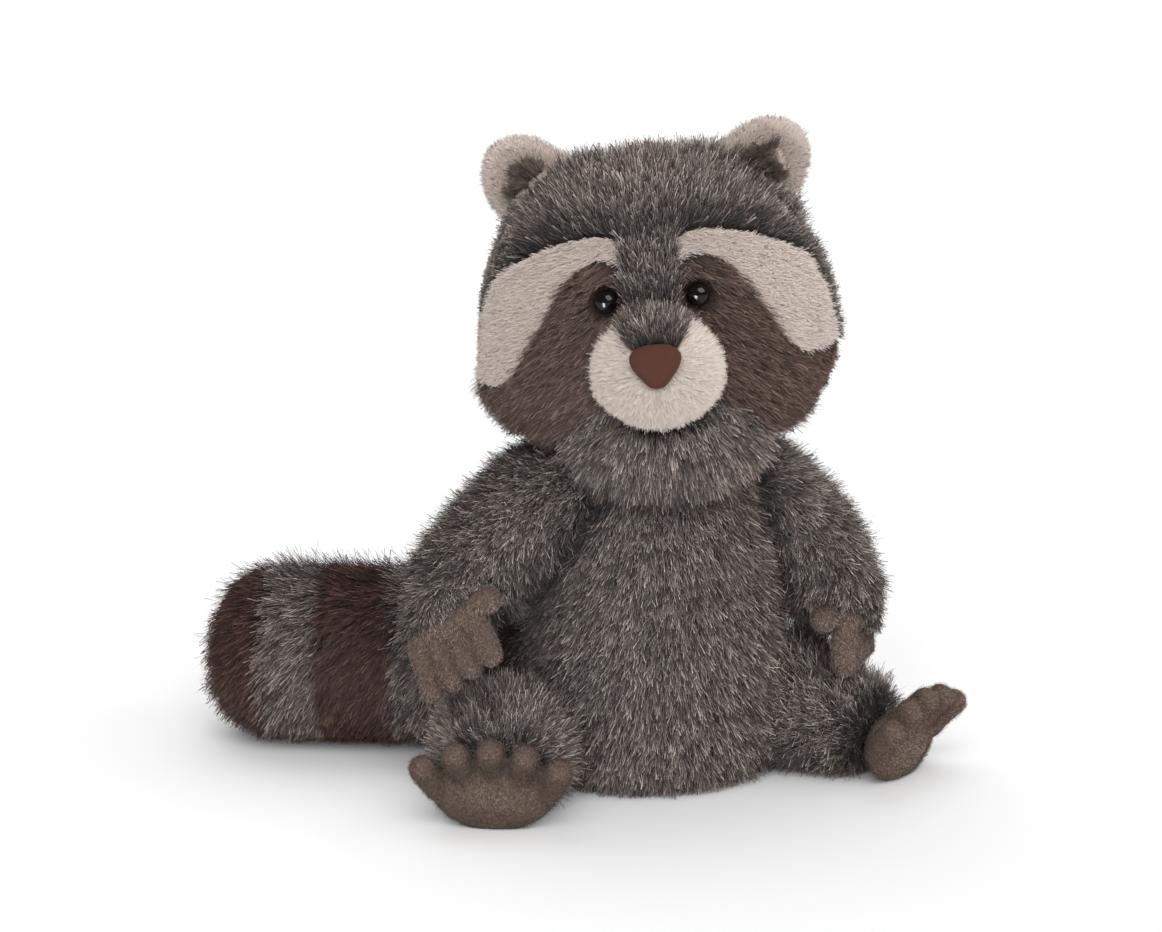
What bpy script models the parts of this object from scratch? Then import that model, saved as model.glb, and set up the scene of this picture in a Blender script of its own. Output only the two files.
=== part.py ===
"""A seated plush raccoon, about 28 cm tall, with its head turned to its own right.

Metres, +Z up. The raccoon's body faces -Y and its own right side is at -X. The origin is the middle of the flat
seat under the body. The fur's pile is not modelled: each surface lies about halfway into the pile.
"""

import math

import bmesh
import bpy
from mathutils import Matrix, Vector
from mathutils.bvhtree import BVHTree

MM = 0.001
GAP = 0.3 * MM

# Head: a dome that is widest low in the cheeks
HEAD_HALF_WIDTH = 73 * MM
HEAD_HEIGHT = 127 * MM
HEAD_FRONT_DEPTH = 52 * MM
HEAD_BACK_DEPTH = 54 * MM
HEAD_MIDDLE_HEIGHT = 201.5 * MM
HEAD_OFFSET = Vector((-7 * MM, -12 * MM, 0))
HEAD_TURN = math.radians(-27)
HEAD_ROLL = math.radians(-5)
# Shares of the head's height from the chin, half-width and depth
HEAD_PROFILE = (
    (0.00, 0.00, 0.00),
    (0.04, 0.50, 0.52),
    (0.13, 0.83, 0.83),
    (0.27, 1.00, 0.98),
    (0.40, 1.00, 1.00),
    (0.55, 0.965, 0.985),
    (0.70, 0.875, 0.92),
    (0.84, 0.71, 0.78),
    (0.95, 0.43, 0.49),
    (1.00, 0.00, 0.00),
)

# Fabric panels let into the face
PANEL_THICKNESS = 5 * MM
SIDE_SEAM_DEPTHS = {"right": 7 * MM, "left": 1 * MM}
SIDE_SEAM_SLOPE = -0.3
# Points across and up from the middle of the head, for the raccoon's left side. Its right stripe ends lower.
FACE_PANELS = (
    (10.5, 27), (11.5, 31), (20, 33), (34, 30.5), (48, 25), (59, 18.5), (65, 8), (69, -5), (71, -19),
    (79, -27), (92, -32), (92, -58), (64, -70), (44, -66), (39, -46), (24, -34), (9, -22), (11, -4), (11, 10),
)
BROW_STRIPES = {
    "left": (
        (2, 21), (16, 24.5), (25, 22.5), (33, 15.5), (42, 1), (48, -9), (52.5, -16), (58, -19.5), (66, -19.5),
        (78, -15), (92, 0), (92, 30), (60, 50), (2, 45),
    ),
    "right": (
        (2, 21), (16, 24.5), (25, 22.5), (33, 15.5), (42, 2), (50, -10), (56, -18.5), (61.5, -24), (68, -25),
        (78, -20), (92, 0), (92, 30), (60, 50), (2, 45),
    ),
}

# Muzzle, nose and eyes
MUZZLE_HALF_WIDTH = 25.5 * MM
MUZZLE_HALF_HEIGHT = 24 * MM
MUZZLE_REACH = 22 * MM
MUZZLE_ROOT = 28 * MM
MUZZLE_DROP = 20 * MM
BRIDGE_THICKNESS = 4 * MM
BRIDGE_END = ((-12.5, 12), (-13, -1), (-9, -8), (-5, -10.5), (5, -10.5), (9, -8), (13, -1), (12.5, 12))
NOSE_WIDTH = 21 * MM
NOSE_HEIGHT = 18 * MM
NOSE_THICKNESS = 8 * MM
NOSE_DROP = 14.5 * MM
NOSE_OUTLINE = (
    (0, 0.5), (0.3, 0.46), (0.48, 0.28), (0.45, 0.02), (0.28, -0.26), (0.11, -0.46),
    (-0.11, -0.46), (-0.28, -0.26), (-0.45, 0.02), (-0.48, 0.28), (-0.3, 0.46),
)
EYE_RADIUS = 4.9 * MM
EYE_SPACING = 36 * MM
EYE_RISE = 8.5 * MM
EYE_STAND = 1 * MM

# Chin gusset, a soft roll under the muzzle
CHIN_HALF_WIDTH = 41 * MM
CHIN_HALF_HEIGHT = 24 * MM
CHIN_HALF_DEPTH = 31 * MM
CHIN_FORWARD = 19 * MM
CHIN_DROP = 49 * MM

# Ears
EAR_ANGLE = math.radians(47)
EAR_WIDTH = 40 * MM
EAR_HEIGHT = 44 * MM
EAR_THICKNESS = 10 * MM
EAR_ROOT = 21.5 * MM
EAR_BACK_SET = 4 * MM
EAR_LEAN = math.radians(4)
EAR_OUTLINE = ((-0.5, 0.0), (-0.47, 0.4), (-0.36, 0.78), (-0.14, 0.98), (0.12, 1.0), (0.36, 0.82), (0.48, 0.42), (0.5, 0.0))
INNER_EAR_SHARE = 0.46
INNER_EAR_THICKNESS = 2.5 * MM

# Body: a pear with a flat seat
BODY_HALF_WIDTH = 52 * MM
BODY_HALF_DEPTH = 47 * MM
BODY_HEIGHT = 168 * MM
# Shares of the body's height, half-width and half-depth
BODY_PROFILE = (
    (0.000, 0.76, 0.74),
    (0.035, 0.90, 0.89),
    (0.11, 0.985, 0.98),
    (0.25, 1.00, 1.00),
    (0.45, 0.975, 0.97),
    (0.62, 0.92, 0.90),
    (0.76, 0.84, 0.80),
    (0.88, 0.68, 0.64),
    (0.97, 0.38, 0.36),
    (1.00, 0.00, 0.00),
)

# Arms, hands, legs, feet and tail, each as points from the body's seat centre, in mm
ARM_HALF_WIDTH = 26 * MM
ARM_HALF_DEPTH = 25 * MM
CUFF_HALF_WIDTH = 24 * MM
CUFF_HALF_DEPTH = 23 * MM
SHOULDER_CAP = 10 * MM
CUFF_CAP = 9 * MM
ARM_PATHS = {
    "right": ((-24, 3, 134), (-56, 1, 122), (-81, 1, 101), (-94, -3, 85), (-92, -13, 73)),
    "left": ((22, 3, 132), (46, -5, 120), (66, -15, 98), (73, -24, 80), (67, -27, 60)),
}
HAND_TURNS = {"right": math.radians(-55), "left": math.radians(45)}
HAND_ROLLS = {"right": math.radians(-36), "left": math.radians(0)}
HAND_TILTS = {"right": math.radians(-10), "left": math.radians(8)}
PALM_HALF_WIDTH = 17.5 * MM
PALM_HALF_DEPTH = 8 * MM
PALM_LENGTH = 5 * MM
PALM_ROOT = 8 * MM
PALM_CAP = 5 * MM
FINGER_RADIUS = 5.2 * MM
FINGER_LENGTH = 24 * MM
FINGER_PITCH = 9.3 * MM
FINGER_FAN = math.radians(3)
FINGER_CURL = math.radians(20)
THUMB_RADIUS = 5.6 * MM
THUMB_LENGTH = 17 * MM
# Each thumb's root and tip, in mm towards the body, to the palm side and up from the end of the arm
THUMBS = {"right": ((12, 0, 2), (25, 1, 1)), "left": ((9, 9, 2), (22, 8, 0))}
# Each hand's shift from the end of its arm, in mm
HAND_SHIFTS = {"right": Vector((-10, -2.5, 1.5)), "left": Vector((8, -9, 7))}

LEG_HALF_WIDTH = 27 * MM
LEG_HALF_HEIGHT = 21.5 * MM
LEG_REACH = 63 * MM
LEG_SPLAYS = {"right": math.radians(-31), "left": math.radians(38)}
FOOT_TURNS = {"right": math.radians(-31), "left": math.radians(31)}
HIP_OFFSETS = {"right": Vector((-61 * MM, 9 * MM, 0)), "left": Vector((48 * MM, -5 * MM, 0))}
# Shares of the leg's length from the hip and of its half-width and half-height
LEG_PROFILES = {
    "right": ((0.0, 0.98), (0.35, 1.04), (0.7, 0.93), (1.0, 0.74)),
    "left": ((0.0, 1.42), (0.35, 1.14), (0.7, 0.93), (1.0, 0.74)),
}
HIP_CAP = 8 * MM
ANKLE_CAP = 7 * MM
SOLE_HALF_WIDTH = 26 * MM
SOLE_HEIGHT = 29 * MM
SOLE_THICKNESS = 15 * MM
TOE_RADIUS = 6 * MM
TOE_LENGTH = 22 * MM
TOE_PITCH = 10.8 * MM
TOE_LEAN = math.radians(34)
TOE_FAN = math.radians(10)
TOE_COUNT = 5

TAIL_RADIUS = 37.5 * MM
TAIL_ROOT_RADIUS = 29 * MM
TAIL_PATH = ((0, 34, 33), (-30, 56, 37.8), (-92, 88, 37.6), (-150.5, 125.5, 37.6))
TAIL_CAP = 28 * MM
# Lengths of the tail's bands from the tip, and their fabrics
TAIL_BANDS = (
    ("tail_tip", 30 * MM, "brown_fur"),
    ("tail_band_1", 24 * MM, "grey_fur"),
    ("tail_band_2", 29 * MM, "brown_fur"),
    ("tail_band_3", 27 * MM, "grey_fur"),
    ("tail_band_4", 27 * MM, "brown_fur"),
)

# Facets
HEAD_SIDES = 26
BODY_SIDES = 24
LIMB_SIDES = 16
TAIL_SIDES = 18
DIGIT_SIDES = 8

# Colour, roughness
FABRICS = {
    "grey_fur": ((0.135, 0.118, 0.105), 0.95),
    "cream_fur": ((0.62, 0.53, 0.48), 0.95),
    "mask_fur": ((0.115, 0.066, 0.052), 0.95),
    "brown_fur": ((0.075, 0.030, 0.024), 0.95),
    "velour": ((0.16, 0.12, 0.095), 0.9),
    "suede": ((0.105, 0.032, 0.020), 0.7),
    "eye_gloss": ((0.006, 0.005, 0.005), 0.06),
}


# Scene and materials

def clear_scene():
    for item in list(bpy.data.objects):
        bpy.data.objects.remove(item, do_unlink=True)


def make_material(name):
    colour, roughness = FABRICS[name]
    material = bpy.data.materials.new(name)
    material.use_nodes = True
    shader = material.node_tree.nodes["Principled BSDF"]
    shader.inputs["Base Color"].default_value = (*colour, 1)
    shader.inputs["Roughness"].default_value = roughness
    shader.inputs["Metallic"].default_value = 0
    material.diffuse_color = (*colour, 1)
    return material


def fabric(name):
    return bpy.data.materials.get(name) or make_material(name)


# Curves through key values

def catmull_rom(keys, place):
    """The keys' values at place, from 0 at the first key to len(keys) - 1 at the last."""
    index = min(int(place), len(keys) - 2)
    share = place - index
    before = keys[max(index - 1, 0)]
    start = keys[index]
    end = keys[index + 1]
    after = keys[min(index + 2, len(keys) - 1)]
    return tuple(
        0.5 * (2 * b + (c - a) * share + (2 * a - 5 * b + 4 * c - d) * share**2 + (3 * b - a - 3 * c + d) * share**3)
        for a, b, c, d in zip(before, start, end, after)
    )


def closed_curve(points, steps):
    """Points on a smooth closed curve through an outline's points, with steps for each of them."""
    count = len(points)
    curve = []
    for index in range(count):
        keys = [points[(index + offset) % count] for offset in (-1, 0, 1, 2)]
        for step in range(steps):
            curve.append(catmull_rom(keys, 1 + step / steps))
    return curve


def grown_outline(outline, amount):
    """The outline moved outwards by amount, for an outline of (across, up) pairs in order."""
    count = len(outline)
    area = sum(
        outline[i][0] * outline[(i + 1) % count][1] - outline[(i + 1) % count][0] * outline[i][1]
        for i in range(count)
    )
    turn = 1 if area > 0 else -1
    grown = []
    for index, (across, up) in enumerate(outline):
        before = Vector(outline[index - 1])
        after = Vector(outline[(index + 1) % count])
        along = (after - before).normalized()
        grown.append((across + turn * along.y * amount, up - turn * along.x * amount))
    return grown


# Solids

def ring_points(centre, across, up, half_across, half_up, sides):
    angles = [2 * math.pi * side / sides for side in range(sides)]
    return [centre + across * (half_across * math.cos(a)) + up * (half_up * math.sin(a)) for a in angles]


def skin_rings(rings):
    """A closed mesh over rings of points. A ring of one point is a pole, and an open end gets a flat cap."""
    mesh = bmesh.new()
    rows = [[mesh.verts.new(point) for point in ring] for ring in rings]
    for row, following in zip(rows, rows[1:]):
        count = max(len(row), len(following))
        for side in range(count):
            corners = [row[side % len(row)], row[(side + 1) % len(row)]]
            corners += [following[(side + 1) % len(following)], following[side % len(following)]]
            mesh.faces.new(list(dict.fromkeys(corners)))
    for row in (rows[0], rows[-1]):
        if len(row) > 2:
            mesh.faces.new(row)
    bmesh.ops.recalc_face_normals(mesh, faces=mesh.faces)
    return mesh


def grow(mesh, amount):
    mesh.normal_update()
    moves = [(vert, vert.normal * amount) for vert in mesh.verts]
    for vert, move in moves:
        vert.co += move


def add_object(name, mesh, matrix=None, material=None):
    data = bpy.data.meshes.new(name)
    mesh.to_mesh(data)
    mesh.free()
    piece = bpy.data.objects.new(name, data)
    bpy.context.scene.collection.objects.link(piece)
    if matrix is not None:
        piece.matrix_world = matrix
    if material is None:
        piece.hide_render = True
        piece.display_type = "WIRE"
    else:
        data.materials.append(fabric(material))
        data.shade_smooth()
    return piece


def combine(piece, other, operation):
    modifier = piece.modifiers.new(operation.lower(), "BOOLEAN")
    modifier.operation = operation
    modifier.solver = "EXACT"
    modifier.object = other
    return piece


def cut(piece, *cutters):
    for cutter in cutters:
        combine(piece, cutter, "DIFFERENCE")
    return piece


def tube_rings(keys, across_hint, caps, rings, sides):
    """Rings along a smooth path. keys are (x, y, z, half_across, half_up), and caps are the lengths of the two
    rounded ends, with 0 for a flat end."""
    fine = 24 * (len(keys) - 1)
    path = [catmull_rom(keys, (len(keys) - 1) * step / fine) for step in range(fine + 1)]
    lengths = [0.0]
    for point, following in zip(path, path[1:]):
        lengths.append(lengths[-1] + (Vector(following[:3]) - Vector(point[:3])).length)
    total = lengths[-1]

    def at(distance):
        index = max(i for i in range(fine) if lengths[i] <= distance + 1e-9)
        share = (distance - lengths[index]) / (lengths[index + 1] - lengths[index])
        share = min(max(share, 0.0), 1.0)
        return [a + (b - a) * share for a, b in zip(path[index], path[index + 1])], index

    cap_steps = 3
    stations = []
    for step in range(cap_steps):
        angle = math.pi / 2 * step / cap_steps
        if caps[0]:
            stations.append((caps[0] * (1 - math.cos(angle)), math.sin(angle)))
    for step in range(rings + 1):
        stations.append((caps[0] + (total - caps[0] - caps[1]) * step / rings, 1.0))
    for step in reversed(range(cap_steps)):
        angle = math.pi / 2 * step / cap_steps
        if caps[1]:
            stations.append((total - caps[1] * (1 - math.cos(angle)), math.sin(angle)))
    result = []
    for distance, share in stations:
        values, index = at(distance)
        centre = Vector(values[:3])
        if share == 0:
            result.append([centre])
            continue
        tangent = (Vector(path[index + 1][:3]) - Vector(path[index][:3])).normalized()
        across = (across_hint - tangent * across_hint.dot(tangent)).normalized()
        up = across.cross(tangent)
        result.append(ring_points(centre, across, up, values[3] * share, values[4] * share, sides))
    return result


def pillow_rings(outline, thickness, edge, front=-1.0):
    """Rings of an outline through its thickness, drawn in at both faces by a share of its size."""
    middle = Vector((sum(p[0] for p in outline), sum(p[1] for p in outline))) / len(outline)
    rings = []
    for depth, share in ((front * 0.5, 1 - edge), (front * 0.3, 1 - 0.25 * edge), (0.0, 1.0), (0.3, 1 - 0.25 * edge), (0.5, 1 - edge)):
        ring = []
        for across, up in outline:
            point = middle + (Vector((across, up)) - middle) * share
            ring.append(Vector((point.x, depth * thickness, point.y)))
        rings.append(ring)
    return rings


def prism(outline, front, back):
    """A straight bar of the outline's section along Y. back gives the rear end's y for a height."""
    rings = [
        [Vector((across, front, up)) for across, up in outline],
        [Vector((across, back(up), up)) for across, up in outline],
    ]
    return skin_rings(rings)


# Head

def head_matrix():
    place = Matrix.Translation(HEAD_OFFSET + Vector((0, 0, HEAD_MIDDLE_HEIGHT)))
    return place @ Matrix.Rotation(HEAD_TURN, 4, "Z") @ Matrix.Rotation(HEAD_ROLL, 4, "Y")


def head_mesh(amount=0.0):
    rows = 15
    rings = []
    for row in range(rows + 1):
        place = (len(HEAD_PROFILE) - 1) * row / rows
        height, width, depth = catmull_rom(HEAD_PROFILE, place)
        up = (height - 0.5) * HEAD_HEIGHT
        if row in (0, rows):
            rings.append([Vector((0, 0, up))])
            continue
        ring = []
        for side in range(HEAD_SIDES):
            angle = 2 * math.pi * side / HEAD_SIDES
            reach = HEAD_BACK_DEPTH if math.sin(angle) > 0 else HEAD_FRONT_DEPTH
            ring.append(Vector((
                HEAD_HALF_WIDTH * width * math.cos(angle),
                reach * depth * math.sin(angle),
                up,
            )))
        rings.append(ring)
    mesh = skin_rings(rings)
    if amount:
        grow(mesh, amount)
    return mesh


def head_surface(across, up):
    """The depth of the head's front surface at a place across and up from its middle."""
    mesh = head_mesh()
    tree = BVHTree.FromBMesh(mesh)
    hit = tree.ray_cast(Vector((across, -1, up)), Vector((0, 1, 0)))[0]
    mesh.free()
    return hit.y


def side_outline(points, side, amount=0.0):
    curve = closed_curve([(across * MM, up * MM) for across, up in points], 2)
    if amount:
        curve = grown_outline(curve, amount)
    return [(across * side, up) for across, up in curve]


def seam_depth(word, up):
    return SIDE_SEAM_DEPTHS[word] + SIDE_SEAM_SLOPE * up


def panel_bar(name, points, side, word, amount=0.0):
    outline = side_outline(points, side, amount)
    return add_object(name, prism(outline, -0.15, lambda up: seam_depth(word, up) + amount), head_matrix())


def make_head():
    pose = head_matrix()
    lining = add_object("lining_guide", head_mesh(-PANEL_THICKNESS), pose)
    floor = add_object("recess_guide", head_mesh(-PANEL_THICKNESS - GAP), pose)
    head = add_object("head", head_mesh(), pose, "grey_fur")
    for side, word in ((1, "left"), (-1, "right")):
        face_bar = panel_bar("face_guide_" + word, FACE_PANELS, side, word)
        brow_bar = panel_bar("brow_guide_" + word, BROW_STRIPES[word], side, word)
        brow_room = add_object(
            "brow_room_guide_" + word,
            prism(side_outline(BROW_STRIPES[word], side, GAP), -0.16, lambda up: seam_depth(word, up) + 0.02),
            pose,
        )
        recess = panel_bar("recess_guide_" + word, FACE_PANELS, side, word, GAP)
        cut(recess, floor)
        cut(head, recess)
        brow = add_object("brow_stripe_" + word, head_mesh(), pose, "cream_fur")
        combine(brow, face_bar, "INTERSECT")
        combine(brow, brow_bar, "INTERSECT")
        cut(brow, lining)
        mask = add_object("mask_" + word, head_mesh(), pose, "mask_fur")
        combine(mask, face_bar, "INTERSECT")
        cut(mask, brow_room, lining)
        eye, eye_room = make_eye(word, side, pose)
        cut(mask, eye_room)
    return head


def ball(radius, segments, rings):
    mesh = bmesh.new()
    bmesh.ops.create_uvsphere(mesh, u_segments=segments, v_segments=rings, radius=radius)
    return mesh


def make_eye(word, side, pose):
    across = side * EYE_SPACING / 2
    depth = head_surface(across, EYE_RISE) - EYE_STAND
    place = pose @ Matrix.Translation(Vector((across, depth, EYE_RISE))) @ Matrix.Rotation(math.pi / 2, 4, "X")
    eye = add_object("eye_" + word, ball(EYE_RADIUS, 12, 8), place, "eye_gloss")
    room = add_object("eye_room_guide_" + word, ball(EYE_RADIUS + GAP, 12, 8), place)
    return eye, room


def muzzle_mesh(amount=0.0):
    mesh = ball(1.0, 20, 12)
    bmesh.ops.rotate(mesh, verts=mesh.verts, matrix=Matrix.Rotation(math.pi / 2, 3, "X"))
    half_depth = (MUZZLE_REACH + MUZZLE_ROOT) / 2
    bmesh.ops.scale(mesh, verts=mesh.verts, vec=(MUZZLE_HALF_WIDTH, half_depth, MUZZLE_HALF_HEIGHT))
    middle = head_surface(0, -MUZZLE_DROP) - MUZZLE_REACH + half_depth
    bmesh.ops.translate(mesh, verts=mesh.verts, vec=(0, middle, -MUZZLE_DROP))
    if amount:
        grow(mesh, amount)
    return mesh


def muzzle_surface(up):
    mesh = muzzle_mesh()
    tree = BVHTree.FromBMesh(mesh)
    hit = tree.ray_cast(Vector((0, -1, up)), Vector((0, 1, 0)))[0]
    mesh.free()
    return hit.y


def make_muzzle(head_room, eye_rooms):
    pose = head_matrix()
    lining = add_object("muzzle_lining_guide", muzzle_mesh(-BRIDGE_THICKNESS), pose)
    floor = add_object("muzzle_recess_guide", muzzle_mesh(-BRIDGE_THICKNESS - GAP), pose)
    outline = [(across * MM, up * MM) for across, up in BRIDGE_END]
    curve = closed_curve(outline, 2)
    bar = add_object("bridge_guide", prism(curve, -0.15, lambda up: 0.0), pose)
    recess = add_object("bridge_recess_guide", prism(grown_outline(curve, GAP), -0.15, lambda up: GAP), pose)
    cut(recess, floor)
    muzzle = add_object("muzzle", muzzle_mesh(), pose, "cream_fur")
    cut(muzzle, head_room, recess, *eye_rooms)
    bridge = add_object("nose_bridge", muzzle_mesh(), pose, "grey_fur")
    combine(bridge, bar, "INTERSECT")
    cut(bridge, lining, head_room, *eye_rooms)
    return muzzle


def make_nose(muzzle_room):
    outline = closed_curve([(across * NOSE_WIDTH, up * NOSE_HEIGHT) for across, up in NOSE_OUTLINE], 2)
    depth = muzzle_surface(-NOSE_DROP) - 0.1 * NOSE_THICKNESS
    place = head_matrix() @ Matrix.Translation(Vector((0, depth, -NOSE_DROP)))
    nose = add_object("nose", skin_rings(pillow_rings(outline, NOSE_THICKNESS, 0.3)), place, "suede")
    return cut(nose, muzzle_room)


def chin_mesh(amount=0.0):
    mesh = ball(1.0, 20, 10)
    bmesh.ops.scale(mesh, verts=mesh.verts, vec=(CHIN_HALF_WIDTH, CHIN_HALF_DEPTH, CHIN_HALF_HEIGHT))
    bmesh.ops.translate(mesh, verts=mesh.verts, vec=(0, -CHIN_FORWARD, -CHIN_DROP))
    if amount:
        grow(mesh, amount)
    return mesh


def ear_place(side):
    """The middle of an ear's root, on the head's outline seen from the front."""
    mesh = head_mesh()
    tree = BVHTree.FromBMesh(mesh)
    outward = Vector((side * math.cos(EAR_ANGLE), 0, math.sin(EAR_ANGLE)))
    hit = tree.ray_cast(Vector((0, EAR_BACK_SET, 0)) + outward, -outward)[0]
    mesh.free()
    place = hit - outward * EAR_ROOT
    spin = Matrix.Rotation(side * (math.pi / 2 - EAR_ANGLE), 4, "Y")
    return Matrix.Translation(place) @ spin @ Matrix.Rotation(EAR_LEAN, 4, "X")


def make_ear(word, side, head_room):
    pose = head_matrix() @ ear_place(side)
    outline = closed_curve([(across * EAR_WIDTH, up * EAR_HEIGHT) for across, up in EAR_OUTLINE], 2)
    ear = add_object("ear_" + word, skin_rings(pillow_rings(outline, EAR_THICKNESS, 0.16)), pose, "cream_fur")
    cut(ear, head_room)
    inner = [(across * INNER_EAR_SHARE, (up - EAR_ROOT) * INNER_EAR_SHARE + EAR_ROOT) for across, up in outline]
    depth = -(EAR_THICKNESS + INNER_EAR_THICKNESS) / 2 - GAP
    inner_pose = pose @ Matrix.Translation(Vector((0, depth, 0)))
    patch = add_object(
        "inner_ear_" + word,
        skin_rings(pillow_rings(inner, INNER_EAR_THICKNESS, 0.05)),
        inner_pose,
        "mask_fur",
    )
    return cut(patch, head_room)


# Body

def body_mesh(amount=0.0):
    rows = 13
    rings = []
    for row in range(rows + 1):
        height, width, depth = catmull_rom(BODY_PROFILE, (len(BODY_PROFILE) - 1) * row / rows)
        centre = Vector((0, 0, height * BODY_HEIGHT))
        if row == rows:
            rings.append([centre])
            continue
        rings.append(ring_points(
            centre, Vector((1, 0, 0)), Vector((0, 1, 0)), BODY_HALF_WIDTH * width, BODY_HALF_DEPTH * depth, BODY_SIDES
        ))
    mesh = skin_rings(rings)
    if amount:
        grow(mesh, amount)
    return mesh


# Arms and hands

def arm_mesh(word, amount=0.0):
    path = ARM_PATHS[word]
    keys = []
    for index, point in enumerate(path):
        share = index / (len(path) - 1)
        half_width = ARM_HALF_WIDTH + (CUFF_HALF_WIDTH - ARM_HALF_WIDTH) * share
        half_depth = ARM_HALF_DEPTH + (CUFF_HALF_DEPTH - ARM_HALF_DEPTH) * share
        keys.append((*(Vector(point) * MM), half_width, half_depth))
    mesh = skin_rings(tube_rings(keys, Vector((0, 1, 0)), (SHOULDER_CAP, CUFF_CAP), 7, LIMB_SIDES))
    if amount:
        grow(mesh, amount)
    return mesh


def make_arm(word, *neighbour_rooms):
    arm = add_object("arm_" + word, arm_mesh(word), None, "grey_fur")
    return cut(arm, *neighbour_rooms)


def digit_mesh(radius, length, start, direction, across, curl):
    """A finger or toe from start along direction, bending by curl towards the palm side."""
    bend = Matrix.Rotation(curl, 3, across)
    middle = start + direction * (length / 2)
    end = middle + (bend @ direction) * (length / 2)
    keys = [(*start, radius * 0.9, radius * 0.9), (*middle, radius, radius), (*end, radius * 0.92, radius * 0.92)]
    return skin_rings(tube_rings(keys, across, (0, radius * 0.8), 2, DIGIT_SIDES))


def hand_matrix(word):
    path = [Vector(point) * MM for point in ARM_PATHS[word]]
    turn = Matrix.Rotation(HAND_TURNS[word], 4, "Z")
    tilt = Matrix.Rotation(HAND_TILTS[word], 4, "X") @ Matrix.Rotation(HAND_ROLLS[word], 4, "Y")
    return Matrix.Translation(path[-1] + HAND_SHIFTS[word] * MM) @ turn @ tilt


def hand_parts(word, side, amount=0.0):
    """The palm, four fingers and thumb. X runs across the palm, -Z to the fingertips, and -Y is its back."""
    palm_keys = [
        (0, 0, PALM_ROOT, PALM_HALF_WIDTH * 0.9, PALM_HALF_DEPTH),
        (0, 0, -PALM_LENGTH / 2, PALM_HALF_WIDTH, PALM_HALF_DEPTH),
        (0, 0, -PALM_LENGTH, PALM_HALF_WIDTH, PALM_HALF_DEPTH * 0.8),
    ]
    parts = [skin_rings(tube_rings(palm_keys, Vector((1, 0, 0)), (PALM_CAP, PALM_CAP), 3, 14))]
    for index in range(4):
        place = index - 1.5
        start = Vector((place * FINGER_PITCH, 0, -PALM_LENGTH + PALM_CAP))
        direction = Vector((math.sin(place * FINGER_FAN), 0, -math.cos(place * FINGER_FAN)))
        parts.append(digit_mesh(FINGER_RADIUS, FINGER_LENGTH, start, direction, Vector((1, 0, 0)), -FINGER_CURL))
    root, tip = (Vector((-side * x, y, z)) * MM for x, y, z in THUMBS[word])
    direction = (tip - root).normalized()
    parts.append(digit_mesh(THUMB_RADIUS, THUMB_LENGTH, root, direction, Vector((0, 1, 0)), 0.0))
    for mesh in parts:
        if amount:
            grow(mesh, amount)
    return parts


def hand_rooms(word, side):
    rooms = []
    for index, mesh in enumerate(hand_parts(word, side, GAP)):
        rooms.append(add_object("hand_room_guide_%s_%d" % (word, index), mesh, hand_matrix(word)))
    return rooms


def make_hand(word, side):
    palm, *digits = hand_parts(word, side)
    hand = add_object("hand_" + word, palm, hand_matrix(word), "velour")
    for index, mesh in enumerate(digits):
        combine(hand, add_object("digit_guide_%s_%d" % (word, index), mesh, hand_matrix(word)), "UNION")
    return hand


# Legs and feet

def leg_direction(word):
    return Vector((math.sin(LEG_SPLAYS[word]), -math.cos(LEG_SPLAYS[word]), 0))


def foot_point(word):
    return HIP_OFFSETS[word] + leg_direction(word) * LEG_REACH


def leg_mesh(word, amount=0.0):
    hip = HIP_OFFSETS[word]
    ankle = foot_point(word) - leg_direction(word) * (SOLE_THICKNESS * 0.55)
    keys = []
    for share, width in LEG_PROFILES[word]:
        centre = hip.lerp(ankle, share) + Vector((0, 0, LEG_HALF_HEIGHT * width))
        keys.append((*centre, LEG_HALF_WIDTH * width, LEG_HALF_HEIGHT * width))
    across = Vector((0, 0, 1)).cross(leg_direction(word))
    mesh = skin_rings(tube_rings(keys, across, (HIP_CAP, ANKLE_CAP), 6, LIMB_SIDES))
    if amount:
        grow(mesh, amount)
    return mesh


def make_leg(word, body_room):
    leg = add_object("leg_" + word, leg_mesh(word), None, "grey_fur")
    return cut(leg, body_room)


def make_foot(word):
    """Local -Y is the way the sole faces, X runs across it and Z up."""
    pose = Matrix.Translation(foot_point(word)) @ Matrix.Rotation(FOOT_TURNS[word], 4, "Z")
    keys = []
    for height, width, depth in ((0.0, 0.42, 0.45), (0.12, 0.7, 0.75), (0.4, 0.98, 1.0), (0.75, 0.95, 0.9), (1.0, 0.6, 0.55)):
        keys.append((0, 0, height * SOLE_HEIGHT, SOLE_HALF_WIDTH * width, SOLE_THICKNESS / 2 * depth))
    rings = tube_rings(keys, Vector((1, 0, 0)), (0, 4 * MM), 6, 18)
    foot = add_object("foot_" + word, skin_rings(rings), pose, "velour")
    for index in range(TOE_COUNT):
        place = index - (TOE_COUNT - 1) / 2
        spread = place * TOE_FAN
        start = Vector((place * TOE_PITCH, -1 * MM, SOLE_HEIGHT * (0.74 - 0.06 * place * place)))
        direction = Vector((math.sin(spread), -math.sin(TOE_LEAN) * math.cos(spread), math.cos(TOE_LEAN)))
        mesh = digit_mesh(TOE_RADIUS, TOE_LENGTH, start, direction.normalized(), Vector((1, 0, 0)), 0.3)
        combine(foot, add_object("toe_guide_%s_%d" % (word, index), mesh, pose), "UNION")
    return cut(foot, add_object("leg_room_guide_" + word, leg_mesh(word, GAP)))


# Tail

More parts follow.
